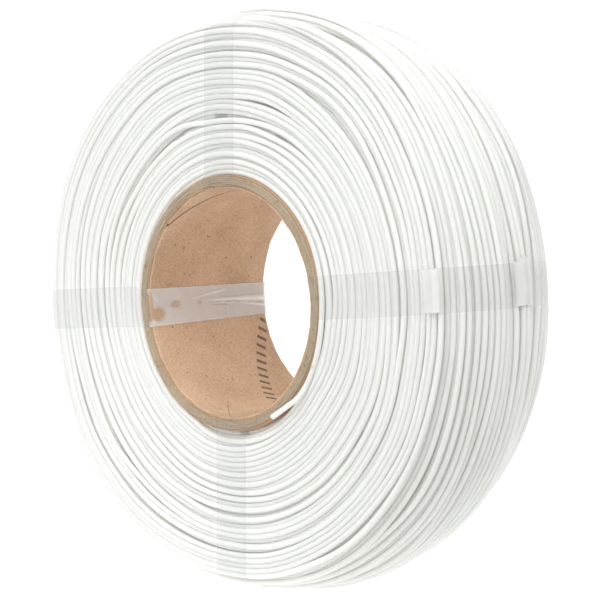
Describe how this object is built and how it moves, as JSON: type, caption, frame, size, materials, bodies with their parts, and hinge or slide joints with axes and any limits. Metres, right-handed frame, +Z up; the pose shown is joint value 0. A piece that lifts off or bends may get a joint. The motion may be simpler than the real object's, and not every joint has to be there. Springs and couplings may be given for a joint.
{
  "type": "filament refill coil",
  "caption": "Spool-less refill coil of plastic filament wound on a paperboard core and held by clear tape straps, for slipping onto a reusable spool.",
  "frame": {"origin": "centre of the core's bore, half way along it", "axes": "+Y along the bore, from the face with the loose start of the filament to the other face; +Z up, with the coil standing on its rim; +X completes a right-handed frame"},
  "size_m": [0.1992, 0.0584, 0.1992],
  "materials": {
    "filament": "satin",
    "core_liner": "matte",
    "core_board": "matte",
    "tape": "gloss"
  },
  "bodies": {
    "root": {"core_liner": "core_liner", "core_ply_2": "core_board", "core_ply_3": "core_board", "core_ply_4": "core_board", "core_ply_5": "core_board", "core_ply_6": "core_board", "core_outer_ply": "core_board", "layer_01": "filament", "layer_02": "filament", "layer_03": "filament", "layer_04": "filament", "layer_05": "filament", "layer_06": "filament", "layer_07": "filament", "layer_08": "filament", "layer_09": "filament", "layer_10": "filament", "layer_11": "filament", "layer_12": "filament", "layer_13": "filament", "layer_14": "filament", "layer_15": "filament", "layer_16": "filament", "layer_17": "filament", "layer_18": "filament", "layer_19": "filament", "layer_20": "filament", "layer_21": "filament", "layer_22": "filament", "layer_23": "filament", "layer_24": "filament", "layer_25": "filament", "layer_26": "filament", "layer_27": "filament", "layer_28": "filament", "layer_29": "filament", "layer_30": "filament", "layer_31": "filament", "layer_32": "filament", "layer_33": "filament", "layer_34": "filament", "layer_35": "filament", "strand_start": "filament", "strap_right": "tape", "strap_top": "tape", "strap_left": "tape", "strap_bottom": "tape"}
  },
  "joints": []
}
